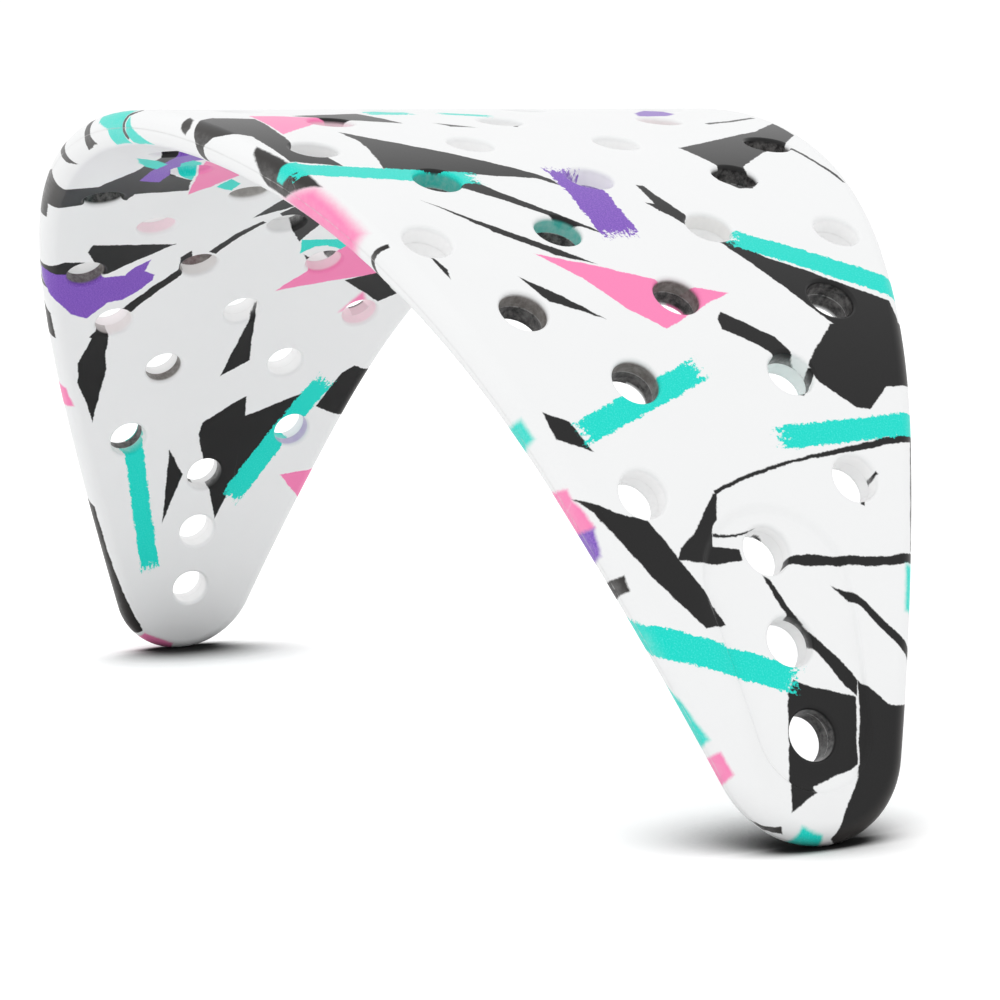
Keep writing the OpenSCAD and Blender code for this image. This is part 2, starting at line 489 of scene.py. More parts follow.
def convex_parts(shape):
    """The sides of convex parts that fill a shape: (a, b, c) with a * s + b * t + c < 0 inside.

    The outline is cut into triangles, which are joined again while they stay convex.
    """
    corners = shape["corners"]
    area = sum(a.cross(b) for a, b in zip(corners, corners[1:] + corners[:1]))
    if area < 0:
        corners = corners[::-1]
    flat = [Vector((c.x, c.y, 0)) for c in corners]
    parts = [list(part) for part in tessellate_polygon([flat])]
    for part in parts:
        a, b, c = (corners[i] for i in part)
        if (b - a).cross(c - a) < 0:
            part.reverse()

    def is_convex(part):
        loop = [corners[i] for i in part]
        return all(
            (b - a).cross(c - b) > -1e-6
            for a, b, c in zip(loop, loop[1:] + loop[:1], loop[2:] + loop[:2])
        )

    def joined(one, two):
        for i, a in enumerate(one):
            b = one[(i + 1) % len(one)]
            for j, c in enumerate(two):
                if c == b and two[(j + 1) % len(two)] == a:
                    rest = [two[(j + 2 + k) % len(two)] for k in range(len(two) - 2)]
                    whole = one[: i + 1] + rest + one[i + 1:]
                    if is_convex(whole):
                        return whole
        return None

    merging = True
    while merging:
        merging = False
        for i in range(len(parts)):
            for j in range(i + 1, len(parts)):
                whole = joined(parts[i], parts[j])
                if whole:
                    parts[i] = whole
                    del parts[j]
                    merging = True
                    break
            if merging:
                break
    count = len(corners)
    result = []
    for part in parts:
        sides = []
        for a, b in zip(part, part[1:] + part[:1]):
            is_outside = (a + 1) % count == b
            run = (corners[b] - corners[a]).normalized()
            out = Vector((run.y, -run.x))
            spread = 0 if is_outside else CUT_SPREAD
            sides.append((out.x / shape["soft"], out.y / shape["soft"],
                          -(out.dot(corners[a]) + spread) / shape["soft"]))
        # A cap across each sharp corner, since the spread would draw it out into a needle.
        for a, b, c in zip(part, part[1:] + part[:1], part[2:] + part[:2]):
            arrive = (corners[b] - corners[a]).normalized()
            leave = (corners[b] - corners[c]).normalized()
            if arrive.dot(leave) > SHARP_CORNER:
                out = (arrive + leave).normalized()
                sides.append((out.x / shape["soft"], out.y / shape["soft"],
                              -(out.dot(corners[b]) + CUT_SPREAD) / shape["soft"]))
        result.append(sides)
    return result


def flattened(shapes):
    """The shapes with the pieces of each line put in its place."""
    result = []
    for shape in shapes:
        result += shape if isinstance(shape, list) else [shape]
    return result


# Film on the outer face of the lobe with s > 0, and turned over on the inner face of that lobe.
NEAR_BLACK = flattened([
    # Dark strip over the rim: partly the film's edge, partly painted shade of the rim, drawn in black.
    polygon((89.5, 27), (104.3, 22), (104.3, 18.4), (97, 20.7), (89.5, 23.4), soft=2),
    polygon((51.8, -24.3), (58.5, -18.3), (63, -12.5), (64.8, -8), (60.5, -13.8), (56, -19.7)),
    polygon((66.5, -18.6), (70.4, -16.5), (73.3, -10.6), (69.5, -14.8)),
    polygon((61.2, -28.4), (66.5, -27), (65, -26.7)),
    line((60.3, -32), (60.2, -33), (60.4, -34.3), (61.2, -35.2), (62.5, -36.2),
         width=0.6, end_width=0.7),
    polygon((85.2, -22.7), (88.5, -22.2), (90.2, -18.2), (86.5, -20)),
    polygon((95.2, -22), (97, -20.3), (105, -15), (110.9, -10.3), (110.6, -7.5), (106, -9.8),
            (98.5, -14), (97.3, -17.5)),
    polygon((103, -11.7), (102, -11), (100, -8.5), (96, -5.2), (96, -4.7), (99, -5.6),
            (100, -6.5), (101.8, -6.6), (102.4, -3.5), (103.6, -3.4), (103.9, -6.5), (103.6, -9.2)),
    line((95.9, -4.9), (94.8, -2), (94, 1), (93.3, 4), (92.8, 7), width=0.5, end_width=0.35),
    line((92.8, 7), (92.4, 10), (92, 13), (91.6, 17), (91.2, 20), (90.9, 24),
         width=0.35, end_width=1.1),
    line((100.6, -6.4), (100.8, -3.5), (100.3, -0.5), width=0.35, end_width=0.2),
    polygon((103.5, 1.5), (104.4, 1.4), (105, 5), (105.3, 9), (105.8, 13), (105.8, 19),
            (104.6, 19), (104.8, 14), (104.3, 9), (103.6, 5)),
    polygon((105.5, -1.6), (109, -0.3), (111, 0.6), (114, 2.6), (118.5, 5.3), (119.8, 6.5),
            (118, 7), (115.5, 5.4), (112.5, 2.8), (109.6, 0.8), (106, -0.8)),
    polygon((107.4, 6.7), (109, 8), (110.3, 9.6), (113, 11.5), (117.5, 15), (115.5, 15),
            (112, 12), (109.6, 10.2), (108.4, 8.7)),
    polygon((105.4, -25), (107.6, -24), (105.9, -18), (104.1, -18.3), soft=1.5),
    polygon((117.3, -1), (118.5, -2), (128, -4.3), (131.2, -5), (130, -2.7), (129.4, -1.2),
            (128.8, -1.5), (128.3, 0.5), (127.5, 3.5), (127, 4.7), (119.8, 6.3), (118.3, 1.5)),
    polygon((118, 7), (120, 6.7), (127, 4.9), (134.6, -0.3), (139, 3), (135, 14), (121.5, 15.5),
            (121.2, 10)),
    polygon((132, -9.8), (133.4, -8.2), (133.5, -6.1), (132.6, -6.4), (132.6, -8)),
    polygon((49, 5), (53.5, 5.2), (53.2, 4), (55, 5), (58, 7), (56.3, 8), (52, 6.5), (49.3, 5.8)),
    polygon((61.5, 9.7), (72.5, 16.3), (76, 18.8), (76, 27.7), (72.4, 27.7), (64.5, 14.5),
            (61.3, 11.8)),
    polygon((75.5, 18), (80.8, 12.6), (83.3, 13), (87, 16.7), (87.2, 18.5), (84.5, 21.7),
            (84.4, 25.3), (82, 30), (76, 31), (75.5, 27.7)),
    polygon((73, 4.4), (74, 3.5), (75.5, 3.5), (78, 7.2), (79.5, 8.7), (82, 11.2), (81.5, 12),
            (79, 11), (77, 9.8), (74.5, 6.5)),
    line((81.5, 12.8), (84.8, 10.2), width=1.0, end_width=0.6),
    polygon((37.6, 17.5), (45, 19.5), (48, 17), (50.3, 18.5), (50.3, 20.5), (48.5, 22.3),
            (44.5, 22.5), (40, 28), (36.5, 33.5), (32.5, 37.6), (26, 38.5), (30.5, 33), (34.8, 24)),
    line((38, 33.4), (49, 34.5), width=0.5),
    polygon((29.5, -24.8), (34, -24), (38, -24.4), (43.5, -25.3), (45.3, -16), (46.8, -7.3),
            (48.8, -5), (47, -5.5), (45.5, -6.8), (38, -15.5), (33, -21.5)),
    polygon((47.5, -18), (49, -17.8), (55, -10.5), (57.5, -7.5), (59.8, -4), (57, -6.8), (54, -10),
            (50, -13.8), (47.3, -15.6)),
    polygon((20.2, -37), (22, -39.2), (23, -40.3), (24.1, -41.4), (25, -42.2), (26, -44),
            (27, -44), (26.8, -41.9), (27.8, -40.5), (29.5, -39), (30.5, -37.5), (31.2, -36.6),
            (41, -35.8), (42.6, -30), (39.2, -30.8), (36, -33), (30.5, -32.6), (21, -31.8)),
    polygon((35.3, -37.6), (36.2, -38.5), (39.1, -39.6), (41, -40.3), (44.3, -39.6),
            (45.9, -37.6), (47.9, -34.9), (44.5, -35.2), (41, -36.2), soft=2.5),
    polygon((19.6, -39.5), (21.2, -39.7), (22.4, -40.8), (22.1, -41.9), (20.6, -41.6),
            (19.9, -40.6), soft=2),
    line((7, -40.6), (5, -41.8), (4.4, -42.8), (4.5, -43.8), (5.1, -44.9), width=0.5, end_width=1),
    polygon((18.5, -26), (22, -21), (24.6, -14), (16.5, -16.5)),
    polygon((24.5, -9.8), (26.8, -8.5), (27.4, -5.2), (26, -7.5)),
    line((24.8, 2), (27, 0.3), width=0.5),
    line((22, 38), (24.5, 33), (26, 28.5), width=0.7),
    line((95.9, 14.8), (95, 16.5), width=0.4),
    line((96.8, 14.2), (98.6, 13.4), width=0.4),
    line((92, 23.2), (98, 21.2), (104.4, 19.2), width=1.4, end_width=0.9),
])
NEAR_PINK = flattened([
    polygon((62.7, -15), (67, -10.8), (72, -7.2), (75.2, -3.5), (72, 2.5), (70.2, 6.7), (68.3, 0),
            (65, -8.5)),
    polygon((44.3, -40), (45.9, -37.6), (47.8, -35.5), (50, -35.1), (57.2, -33.8), (57.7, -35.4),
            (58.2, -38), (52, -40.5), soft=12),
    polygon((94.2, -30), (101, -28), (98.6, -20.3), (95.3, -22), (94, -22.3), soft=3),
    polygon((126.2, -19), (130.5, -17), (126.5, -10.8), (124, -11.8), soft=3),
    polygon((18.5, -31.5), (30.4, -32.2), (25, -26), (26.5, -24), (25.5, -22.5), (21, -20.5),
            (20, -24), (18.8, -28)),
])
NEAR_PURPLE = flattened([
    polygon((99.5, -28), (105, -27), (101.7, -20.4), (98.6, -20.4), soft=4),
    polygon((13.5, 26.5), (17, 23), (20, 22), (20, 26), (18, 28.5), (15, 28.5), soft=3),
])
NEAR_TEAL = flattened([
    polygon((86.5, -32), (91.2, -31), (88, -24.5), (85.5, -25.3), soft=5),
    polygon((112, -23), (127, -20), (122.5, -12.8), (118, -15.3), soft=4),
    polygon((41.2, -35.2), (41.4, -37), (42.4, -38.8), (43.4, -38.4), (43.7, -34.8), soft=2),
    polygon((-6, -41), (5.5, -40.6), (4.5, -41.8), (4.0, -42.8), (4.1, -43.8), (4.6, -45.9),
            (-1, -45.8), (-1, -43.7), (-5, -42.4), soft=2),
    polygon((5.7, -41.9), (7, -43.2), (12, -45.3), (7, -45.9), (5.7, -45.7), (5.2, -43.8),
            (5.1, -42.8), soft=2),
    polygon((132.8, -4), (137, -6.5), (138, -1), (134, -1.5), soft=4),
    polygon((106, 19), (112, 17.5), (111, 15.2), (106, 16.9), soft=5),
])
# Dry brush strokes: start, end, half of the width.
NEAR_TEAL_STROKES = [
    ((43.2, -36.5), (46.6, -15.3), 1.6),
    ((88, -18.8), (81, -2), 1.5),
    ((90.1, 5.5), (89.2, 27), 1.4),
    ((60.8, 11.8), (72, 32.5), 1.7),
    ((109.6, -22), (117.2, -0.8), 1.6),
    ((15.8, -14.8), (16, -9), 1.8),
    ((16.4, -5), (19.3, 0.5), 1.0),
]
NEAR_PURPLE_STROKES = [((44.5, -2.5), (59.5, -2.5), 2.5)]

# Film on the inner face of the lobe with s < 0, and turned over on the outer face of that lobe.
FAR_BLACK = flattened([
    polygon((4, -14), (9, -11.5), (17, -3.5), (12.5, 0.5), (8, -4), (2, -8)),
    polygon((5, 22), (14, 25.5), (20, 25), (31, 28), (20, 31), (9, 27)),
    polygon((33, 11), (39, 11.8), (47.5, 22), (43, 21), (37, 17.5)),
    polygon((47, 27), (59, 26.5), (62, 29), (52, 30.5)),
    line((3, 9), (9, 9.6), (17, 13.5), (25, 15), width=0.5, end_width=1.1),
    polygon((2, -30.6), (15, -30.2), (24, -30.8), (31, -33.5), (32, -38), (30.5, -41.3),
            (35.5, -42), (39.5, -44.6), (50, -44.6), (48.5, -40.5), (44.5, -37), (40, -38.1),
            (37.5, -31), (36.8, -27.5), (34.4, -27.2), (33.2, -19.8), (28.5, -21), (24, -27),
            (12, -28.5), (2, -29.4)),
    polygon((52, -28.1), (54, -28.2), (57, -26.3), (61, -25), (52.3, -15.5)),
    polygon((56.6, -31), (59.6, -35.4), (60.8, -33), (60.5, -24.9), (57, -26)),
    polygon((58.4, -38), (65.5, -37), (64.6, -33.8), (64.2, -32), (62.5, -33.8), (59.6, -35.3)),
    polygon((67.5, -37), (76.5, -34), (75.6, -30.2), (75.3, -28.3), (70, -30.3), (68.5, -32.7)),
    line((46, -3.8), (50, -6.5), (55, -8.9), width=1.0, end_width=1.4),
    polygon((54.3, -12.4), (56, -13.6), (60, -12.8), (60.5, -11.5), (58.5, -11.2), (56, -11.9)),
    line((59, -11.8), (63, -14.6), (68, -18), (71, -20), (75, -22.3), width=1.4, end_width=2.0),
    polygon((71, -21), (75, -22.8), (80, -24), (84, -23.4), (87.5, -21.7), (91.8, -20),
            (81.5, -19.3), (78, -20.1), (72.5, -20.3)),
    polygon((36.5, -3.5), (44.5, -6), (41, -1.5), (40, -0.5)),
    polygon((40, -0.5), (43, -2.3), (52.5, 4), (47, 5.5)),
    polygon((56.3, 5.9), (59.7, 8.5), (58, 8.6)),
    polygon((63.5, 15), (69, 22.3), (67.3, 25), (61.7, 20)),
    polygon((69.5, 2.3), (84, -0.4), (81, 3.8)),
    polygon((88.3, 4.6), (93, -1.8), (95, -2.3), (99, -1), (104.5, 0.8), (111, 2.6), (104.5, 5),
            (92.3, 5.2)),
    polygon((92.3, 5), (104.5, 4.9), (97, 10.3), (92, 12.5), (88, 14.8)),
    polygon((83.2, 22), (84.5, 20.2), (91, 17), (92.2, 19), (93.5, 23), (85, 27)),
    polygon((97.8, -6.6), (111, -6.1), (104, -4.3), (102.3, -3.8)),
    polygon((106, -23), (117, -19), (127, -14), (133, -10), (130.5, -7.3), (125, -10.5),
            (117, -14.2), (107.8, -17.6)),
    polygon((9, -46), (8, -43.1), (7, -42), (11.5, -41.4), (11, -42), (10.6, -43.3), (11, -46)),
    polygon((21.5, -44), (20.3, -41.6), (19.4, -40), (22, -41), (24.3, -43.2), (25, -44.5)),
])
FAR_PINK = flattened([
    polygon((19.5, 1.5), (31, 5.5), (22.5, 11)),
    polygon((37.5, 27.5), (48.5, 31.5), (40, 35.5)),
    polygon((17.5, -23), (27, -20.8), (35, -19.3), (31.5, -17), (28, -15.5), (25, -14.3),
            (21, -17.5)),
    polygon((65.5, 4.2), (63.2, 14), (62, 20.5), (53, 12.5), (55.5, 11), (58, 11), (61, 8)),
    polygon((66.5, 19), (71, 16.5), (70, 21), soft=6),
    polygon((85.5, -32), (92, -30), (88.8, -23.3), (85.5, -25), soft=3),
    polygon((103.5, 12.8), (109, 17.5), (109, 22), (103, 20)),
    polygon((131, -7), (136, -10), (139, -2), (133.3, -2), soft=3),
])
FAR_PURPLE = flattened([
    polygon((9.5, 32.5), (14, 32), (19, 35.5), (14.5, 39.5), (7.5, 37)),
    polygon((60, -34.3), (62.5, -33.5), (65, -31.5), (67, -29.3), (69.5, -27), (70.5, -24.5),
            (69, -23.5), (67, -22), (66.5, -20), (64.5, -18), (62, -16.3), (60.5, -16.3),
            (59.5, -18.2), (56.5, -18), (58.5, -20), (60.5, -21), (60.8, -24), (60.2, -28),
            (59.5, -33)),
    polygon((8, -28.2), (20, -28.4), (28.5, -28.6), (29.3, -25.5), (24, -25), (18, -25.6),
            (16, -22.9), (12, -24.6)),
])
FAR_TEAL = flattened([
    polygon((15, -33.5), (18.5, -32), (21, -30), (22.5, -28.2), (19.5, -27.7), (17, -30), soft=2),
    polygon((17, -25), (19, -26), (22, -25), (26, -23.5), (28.5, -21), (25, -21.5), (18.5, -23.2)),
    polygon((28, -15.3), (31.8, -16.2), (33.5, -13.3), (30.5, -13)),
    polygon((52, 4.3), (56, 5.3), (54, 7), (53.8, 9), (55, 11.5), (53.8, 12.3), (52, 10)),
])
FAR_TEAL_STROKES = [
    ((6, 16.5), (21, 21), 1.9),
    ((31, 21), (41, 31), 1.9),
    ((95.5, -13), (119, -7.3), 1.5),
    ((86, 17.5), (107, 5), 1.8),
]

INK = {
    "black": (0.009, 0.0088, 0.009),
    "light_black": (0.017, 0.0167, 0.017),
    "worn_black": (0.034, 0.030, 0.028),
    "pink": (0.95, 0.215, 0.46),
    "light_pink": (0.97, 0.27, 0.52),
    "purple": (0.165, 0.065, 0.46),
    "light_purple": (0.30, 0.13, 0.60),
    "teal": (0.002, 0.70, 0.59),
    "light_teal": (0.06, 0.80, 0.72),
}


# Colour of the film in the hole walls, by the centre of the hole: for the outer and inner halves.
BLACK_WALL = (0.012, 0.011, 0.012, 1.0)
BROWN_WALL = (0.10, 0.085, 0.075, 0.95)
GREY_WALL = (0.27, 0.26, 0.245, 0.9)
PALE_WALL = (0.80, 0.78, 0.76, 0.5)
TEAL_WALL = (0.05, 0.48, 0.42, 0.9)
PINK_WALL = (0.94, 0.72, 0.79, 0.8)
PURPLE_WALL = (0.42, 0.28, 0.60, 0.7)
OUTER_TONES = {
    (72, -20): BROWN_WALL, (82, -10): BROWN_WALL, (70, 0): BROWN_WALL,
    (72, 20): BLACK_WALL, (47, 20): BLACK_WALL, (36, 31): BLACK_WALL, (123, 0): BLACK_WALL,
    (47, -20): TEAL_WALL, (58, -10): TEAL_WALL, (58, 10): PALE_WALL, (23, -23): PINK_WALL,
    (23, 23): PALE_WALL, (-35, 10): PINK_WALL, (-58, -10): BROWN_WALL, (-72, 20): PINK_WALL,
    (-95, -14): BLACK_WALL,
}
INNER_TONES = {
    (72, -20): BLACK_WALL, (82, -10): BLACK_WALL, (70, 0): BLACK_WALL,
    (72, 20): BLACK_WALL, (47, 20): BLACK_WALL, (36, 31): BLACK_WALL, (123, 0): BLACK_WALL,
    (47, -20): BLACK_WALL, (58, -10): BLACK_WALL,
    (-36, -31): BLACK_WALL, (-60, -27): BROWN_WALL, (-72, -20): PALE_WALL,
    (-58, -10): PALE_WALL, (-35, -10): GREY_WALL, (-47, -20): PINK_WALL, (-58, 10): PINK_WALL,
    (-72, 20): PINK_WALL, (-82, -10): BROWN_WALL, (-95, 14): PURPLE_WALL,
}


class Nodes:
    """Short ways to add nodes to one tree."""

    def __init__(self, tree):
        self.tree = tree

    def add(self, kind, values=(), **settings):
        node = self.tree.nodes.new(kind)
        for key, value in settings.items():
            setattr(node, key, value)
        for slot, value in values.items() if isinstance(values, dict) else enumerate(values):
            self.feed(node.inputs[slot], value)
        return node

    def feed(self, socket, value):
        if isinstance(value, bpy.types.NodeSocket):
            self.tree.links.new(value, socket)
        else:
            socket.default_value = value

    def math(self, operation, *values, clamp=False):
        return self.add("ShaderNodeMath", values, operation=operation, use_clamp=clamp).outputs[0]

    def vector(self, operation, *values):
        return self.add("ShaderNodeVectorMath", values, operation=operation).outputs[0]

    def dot(self, a, b):
        node = self.add("ShaderNodeVectorMath", (a, b), operation="DOT_PRODUCT")
        return node.outputs["Value"]

    def ramp(self, value, low, high, to_low=0.0, to_high=1.0):
        values = (value, low, high, to_low, to_high)
        node = self.add("ShaderNodeMapRange", values, interpolation_type="SMOOTHSTEP")
        return node.outputs["Result"]

    def noise(self, vector, scale, detail=2.0, rough=0.5):
        values = {"Vector": vector, "Scale": scale, "Detail": detail, "Roughness": rough}
        return self.add("ShaderNodeTexNoise", values)

    def mix(self, factor, a, b):
        node = self.add("ShaderNodeMix", data_type="RGBA")
        for slot, value in zip((0, 6, 7), (factor, a, b)):
            if not isinstance(value, bpy.types.NodeSocket) and slot:
                value = (*value, 1.0)
            self.feed(node.inputs[slot], value)
        return node.outputs[2]

    def mix_vector(self, factor, a, b):
        node = self.add("ShaderNodeMix", {0: factor, 4: a, 5: b}, data_type="VECTOR")
        return node.outputs[1]

    def attribute(self, name):
        return self.add("ShaderNodeAttribute", attribute_name=name)


# Dry brush ends: streaks per mm along and across the stroke, the shift from stroke to stroke,
# how slowly a stroke ends, and how far streaks and speckles move its edge.
STREAK_ALONG = 0.55
STREAK_ACROSS = 2.2
STREAK_SHIFT = 7.3
END_SLOPE = 0.20
STREAK_SIZE = 0.7
SPECKLE_SIZE = 0.8

# How far coarse and fine tearing move the edge of a print, and the half width of the edge, in mm.
COARSE_TEAR = 0.5
FINE_TEAR = 0.3
EDGE_HALF = 0.09


def new_material(name):
    """A material with its nodes and its Principled shader."""
    material = bpy.data.materials.new(name)
    material.use_nodes = True
    return material, Nodes(material.node_tree), material.node_tree.nodes["Principled BSDF"]


def nearest_shape(nodes, plane, shapes):
    """Signed distance in mm to the nearest of the shapes, negative inside one."""
    nearest = None
    for shape in shapes:
        for sides in convex_parts(shape):
            inside = None
            for side in sides:
                gap = nodes.dot(plane, side)
                inside = gap if inside is None else nodes.math("MAXIMUM", inside, gap)
            nearest = inside if nearest is None else nodes.math("MINIMUM", nearest, inside)
    return nearest


def nearest_stroke(nodes, plane, strokes, nearest):
    """The same for dry brush strokes, whose ends break up into streaks."""
    for number, (start, end, half_width) in enumerate(strokes):
        start, end = Vector(start), Vector(end)
        run = (end - start).normalized()
        centre = (start + end) / 2
        along = nodes.dot(plane, (run.x, run.y, -run.dot(centre)))
        across = nodes.dot(plane, (-run.y, run.x, run.y * centre.x - run.x * centre.y))
        streak = nodes.add("ShaderNodeCombineXYZ", (
            nodes.math("MULTIPLY", along, STREAK_ALONG),
            nodes.math("MULTIPLY", across, STREAK_ACROSS),
            number * STREAK_SHIFT,
        )).outputs[0]
        ragged = nodes.noise(streak, 1.0, 3.0, 0.65).outputs[0]
        speckle = nodes.noise(plane, 2.6, 2.0, 0.6).outputs[0]
        end_gap = nodes.math("SUBTRACT", nodes.math("ABSOLUTE", along), (end - start).length / 2)
        side_gap = nodes.math("SUBTRACT", nodes.math("ABSOLUTE", across), half_width)
        end_gap = nodes.math("MULTIPLY", end_gap, END_SLOPE)
        gap = nodes.math("MAXIMUM", end_gap, side_gap)
        gap = nodes.math("MULTIPLY_ADD", nodes.math("SUBTRACT", ragged, 0.5), STREAK_SIZE, gap)
        gap = nodes.math("MULTIPLY_ADD", nodes.math("SUBTRACT", speckle, 0.5), SPECKLE_SIZE, gap)
        nearest = gap if nearest is None else nodes.math("MINIMUM", nearest, gap)
    return nearest


def ink_group(name, shapes, strokes=()):
    """A node group from a point (s, t, 1) on the film to its distance from one ink."""
    tree = bpy.data.node_groups.new(name, "ShaderNodeTree")
    tree.interface.new_socket("Plane", in_out="INPUT", socket_type="NodeSocketVector")
    tree.interface.new_socket("Gap", in_out="OUTPUT", socket_type="NodeSocketFloat")
    nodes = Nodes(tree)
    plane = nodes.add("NodeGroupInput").outputs[0]
    gap = nearest_stroke(nodes, plane, strokes, nearest_shape(nodes, plane, shapes))
    nodes.add("NodeGroupOutput", (gap,))
    return tree


def film_groups(name, prints):
    """The ink groups of one film, from its shapes and strokes, in the order of printing."""
    return {ink: ink_group(name + "_" + ink, *shapes) for ink, shapes in prints.items()}


def torn_plane(nodes, flat):
    """The film point as (s, t, 1), pushed about a little so that printed edges look torn."""
    half = (0.5, 0.5, 0.5)
    coarse = nodes.vector("SUBTRACT", nodes.noise(flat, 0.45, 2.0).outputs[1], half)
    fine = nodes.vector("SUBTRACT", nodes.noise(flat, 2.4, 3.0, 0.6).outputs[1], half)
    torn = nodes.vector("ADD", nodes.vector("MULTIPLY", coarse, (COARSE_TEAR, COARSE_TEAR, 0.0)),
                        nodes.vector("MULTIPLY", fine, (FINE_TEAR, FINE_TEAR, 0.0)))
    torn = nodes.vector("ADD", flat, torn)
    return nodes.vector("ADD", nodes.vector("MULTIPLY", torn, (1, 1, 0)), (0, 0, 1))


def bare_plastic(nodes, place_in_space, wall):
    """White plastic, painted lighter down the hole walls: painted light that lifts the shade inside the
    holes.
    """
    cloud = nodes.noise(place_in_space, 90.0, 3.0).outputs[0]
    base = nodes.mix(cloud, (0.870, 0.877, 0.880), (0.892, 0.897, 0.899))
    # Painted light: the hole walls are given a lighter colour so that they show less of their shade.
    return nodes.mix(nodes.ramp(wall, 0.2, 0.9), base, (0.965, 0.965, 0.965))


def inked(nodes, colour, flat, grain, rim, groups):
    """The colour with the inks of the film printed over it."""
    charcoal = nodes.mix(grain, INK["black"], INK["light_black"])
    inks = {
        "pink": nodes.mix(grain, INK["pink"], INK["light_pink"]),
        "black": nodes.mix(nodes.ramp(rim, 0.2, 1.6, 0, 0.7), charcoal, INK["worn_black"]),
        "purple": nodes.mix(nodes.ramp(grain, 0.35, 0.7), INK["purple"], INK["light_purple"]),
        "teal": nodes.mix(nodes.ramp(grain, 0.45, 0.75), INK["teal"], INK["light_teal"]),
    }
    plane = torn_plane(nodes, flat)
    for ink, group in groups.items():
        gap = nodes.add("ShaderNodeGroup", node_tree=group)
        nodes.feed(gap.inputs[0], plane)
        cover = nodes.ramp(gap.outputs[0], -EDGE_HALF, EDGE_HALF, 1.0, 0.0)
        colour = nodes.mix(cover, colour, inks[ink])
    return colour


def worn(nodes, colour, place_in_space, rim, wall, depth):
    """The film where it is stretched, its tone inside the holes, and the line between the halves."""
    tone = nodes.attribute("tone")
    mottle = nodes.noise(nodes.vector("MULTIPLY", place_in_space, (1000, 1000, 1000)),
                         1.1, 4.0, 0.65).outputs[0]
    thin = nodes.math("ADD", nodes.ramp(rim, 1.4, 3.4, 0, 0.12), nodes.ramp(wall, 0.5, 2.2, 0, 0.35))
    thin = nodes.math("MULTIPLY", thin, nodes.ramp(mottle, 0.35, 0.7, 0.4, 1.0), clamp=True)
    colour = nodes.mix(thin, colour, (0.94, 0.94, 0.935))

    strength = nodes.math("MULTIPLY", tone.outputs["Alpha"], nodes.ramp(wall, 0.25, 0.8))
    faded = nodes.mix(0.22, tone.outputs["Color"], (0.7, 0.68, 0.66))
    patch = nodes.mix(nodes.ramp(mottle, 0.30, 0.72), tone.outputs["Color"], faded)
    colour = nodes.mix(strength, colour, patch)

    from_seam = nodes.math("ABSOLUTE", nodes.math("SUBTRACT", depth, WALL / 2))
    seam = nodes.ramp(from_seam, 0.03, 0.10, 1.0, 0.0)
    seam = nodes.math("MULTIPLY", seam, nodes.ramp(mottle, 0.35, 0.6, 0.05, 0.4))
    return nodes.mix(seam, colour, (0.80, 0.795, 0.79))


def moulded_bump(nodes, place_in_space):
    """The faint waviness of a moulded and coated surface."""
    peel = nodes.noise(place_in_space, 420.0, 2.0).outputs[0]
    fine_peel = nodes.noise(place_in_space, 2600.0, 2.0).outputs[0]
    height = nodes.math("MULTIPLY_ADD", fine_peel, 0.12, peel)
    return nodes.add("ShaderNodeBump", {"Strength": 0.25, "Distance": 0.00003, "Height": height})


def film_material(name, turned, over_turned, groups):
    """White moulded plastic with the printed film.

    turned flips (s, t) into the film's own, and over_turned does so for a film that comes over the
    rim from the other half, where there is one.
    """
    material, nodes, shader = new_material(name)
    edge = nodes.add("ShaderNodeSeparateXYZ", (nodes.attribute("edge").outputs["Vector"],))
    rim, wall, depth = edge.outputs
    place_in_space = nodes.add("ShaderNodeTexCoord").outputs["Object"]
    film = nodes.attribute("film").outputs["Vector"]
    flat = nodes.vector("MULTIPLY", film, (*turned, 0.0))
    if over_turned:
        over = nodes.vector("MULTIPLY", nodes.attribute("over").outputs["Vector"],
                            (*over_turned, 0.0))
        is_over = nodes.math("GREATER_THAN", rim, OVERLAP)
        flat = nodes.mix_vector(is_over, flat, over)
    grain = nodes.noise(flat, 5.0, 3.0, 0.7).outputs[0]

    colour = bare_plastic(nodes, place_in_space, wall)
    colour = inked(nodes, colour, flat, grain, rim, groups)
    colour = worn(nodes, colour, place_in_space, rim, wall, depth)
    nodes.feed(shader.inputs["Base Color"], colour)
    nodes.feed(shader.inputs["Roughness"], nodes.math("MULTIPLY_ADD", grain, 0.10, 0.28))
    nodes.feed(shader.inputs["Normal"], moulded_bump(nodes, place_in_space).outputs[0])
    shader.inputs["IOR"].default_value = 1.5
    shader.inputs["Specular IOR Level"].default_value = 0.2
    shader.inputs["Coat Weight"].default_value = 0.05
    shader.inputs["Coat Roughness"].default_value = 0.12
    return material


near = film_groups("near", {
    "pink": (NEAR_PINK,),
    "black": (NEAR_BLACK,),
    "purple": (NEAR_PURPLE, NEAR_PURPLE_STROKES),
    "teal": (NEAR_TEAL, NEAR_TEAL_STROKES),
})
far = film_groups("far", {
    "pink": (FAR_PINK,),
    "black": (FAR_BLACK,),
    "purple": (FAR_PURPLE,),
    "teal": (FAR_TEAL, FAR_TEAL_STROKES),
})


def printed_half(name, node, outer, tones):
    """A half shell with its two film materials, one for each lobe."""
    piece = half_shell(name, outer, tones)
    flip = 1 if outer else -1
    near_over = None if outer else (1, 1)
    far_over = (-1, 1) if outer else None
    piece.data.materials.append(film_material(name + "_film_a", (1, flip), near_over, near))
    piece.data.materials.append(film_material(name + "_film_b", (-1, -flip), far_over, far))
    centres = np.zeros(len(piece.data.polygons) * 3, np.float32)
    piece.data.polygons.foreach_get("center", centres)
    is_far = (centres[0::3] < -0.5 * ROW * MM).astype(np.int32)
    piece.data.polygons.foreach_set("material_index", is_far)
    piece.data.update()
    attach(piece, "root")
    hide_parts(node)
    return piece


printed_half("outer_half", "outer_shell", True, OUTER_TONES)
printed_half("inner_half", "inner_shell", False, INNER_TONES)


# ---------------------------------------------------------------- floor, lights and camera

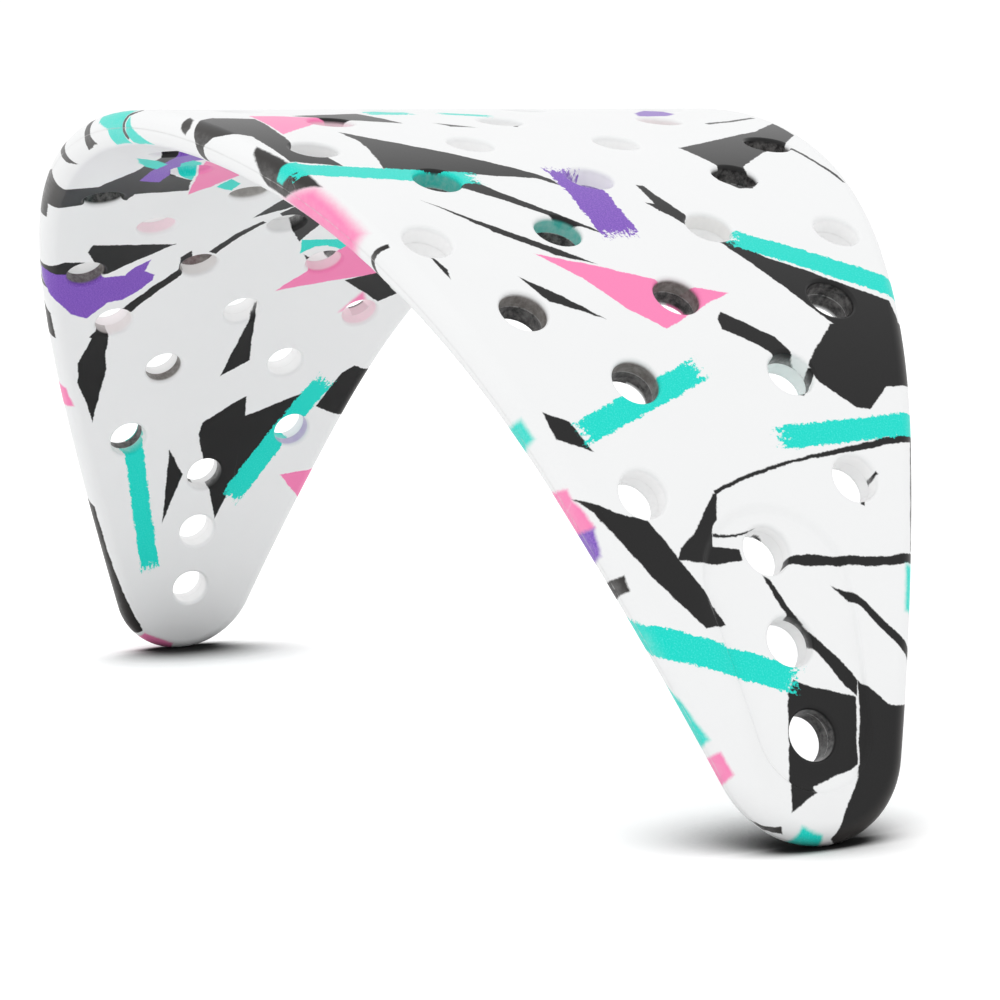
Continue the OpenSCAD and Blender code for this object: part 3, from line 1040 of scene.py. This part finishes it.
ROOM_LIGHT = 0.98
ROOM_SEEN = 1.05
FLOOR_GAIN = 1.35
FLOOR_HALF = 6.0
PAINTED_SHADOW_REACH = 0.024


def stage_floor():
    """A wide pale floor under the tips, with contact shadows painted into its colour."""
    mesh = bpy.data.meshes.new("floor")
    corners = [(x * FLOOR_HALF, y * FLOOR_HALF, 0) for x, y in ((-1, -1), (1, -1), (1, 1), (-1, 1))]
    mesh.from_pydata(corners, [], [(0, 1, 2, 3)])
    floor = bpy.data.objects.new("floor", mesh)
    bpy.context.scene.collection.objects.link(floor)
    material, nodes, shader = new_material("floor_paper")
    where = nodes.add("ShaderNodeTexCoord").outputs["Object"]
    cloud = nodes.noise(where, 30.0, 4.0).outputs[0]
    tint = nodes.mix(cloud, (0.93, 0.93, 0.93), (0.96, 0.96, 0.96))
    # Painted contact shadow: the floor colour is darkened by a ramp on ambient occlusion near the tips.
    open_sky = nodes.add("ShaderNodeAmbientOcclusion", {"Distance": PAINTED_SHADOW_REACH}, samples=32)
    painted_contact_shadow = nodes.ramp(open_sky.outputs["AO"], 0.42, 0.97, 0.02, 1.0)
    seen = nodes.add("ShaderNodeLightPath").outputs["Is Camera Ray"]
    gain = nodes.math("MULTIPLY_ADD", seen, FLOOR_GAIN - 1.0, 1.0)
    gain = nodes.math("MULTIPLY", gain, painted_contact_shadow)
    bright = nodes.vector("SCALE", tint)
    nodes.feed(bright.node.inputs["Scale"], gain)
    paper = nodes.add("ShaderNodeBsdfDiffuse", {"Color": bright})
    output = material.node_tree.nodes["Material Output"]
    nodes.feed(output.inputs["Surface"], paper.outputs[0])
    material.node_tree.nodes.remove(shader)
    mesh.materials.append(material)


def sky_light(name, source, strength, spread):
    """Very soft light from one direction."""
    light = bpy.data.lights.new(name, "SUN")
    light.energy = strength
    light.angle = math.radians(spread)
    holder = bpy.data.objects.new(name, light)
    holder.rotation_euler = Vector(source).to_track_quat("Z", "Y").to_euler()
    bpy.context.scene.collection.objects.link(holder)


def white_room():
    """Even light from all sides, in front of a pure white background."""
    world = bpy.data.worlds.new("room")
    world.use_nodes = True
    nodes = Nodes(world.node_tree)
    seen = nodes.add("ShaderNodeLightPath").outputs["Is Camera Ray"]
    strength = nodes.math("MULTIPLY_ADD", seen, ROOM_SEEN - ROOM_LIGHT, ROOM_LIGHT)
    background = world.node_tree.nodes["Background"]
    nodes.feed(background.inputs["Color"], (1, 1, 1, 1))
    nodes.feed(background.inputs["Strength"], strength)
    bpy.context.scene.world = world


def view_camera():
    """The camera of the main view, low beside the lobe with s > 0."""
    camera = bpy.data.cameras.new("camera")
    camera.sensor_width = 36.0
    camera.lens = 102.3
    camera.clip_start = 0.01
    holder = bpy.data.objects.new("camera", camera)
    holder.location = (0.3357, -0.1664, 0.0643)
    holder.rotation_euler = [math.radians(angle) for angle in (84.75, 1.5, 62.03)]
    bpy.context.scene.collection.objects.link(holder)
    bpy.context.scene.camera = holder


stage_floor()
sky_light("top_light", (-0.15, -0.55, 1.0), 0.34, 90)
white_room()
view_camera()
bpy.context.scene.view_settings.view_transform = "Standard"
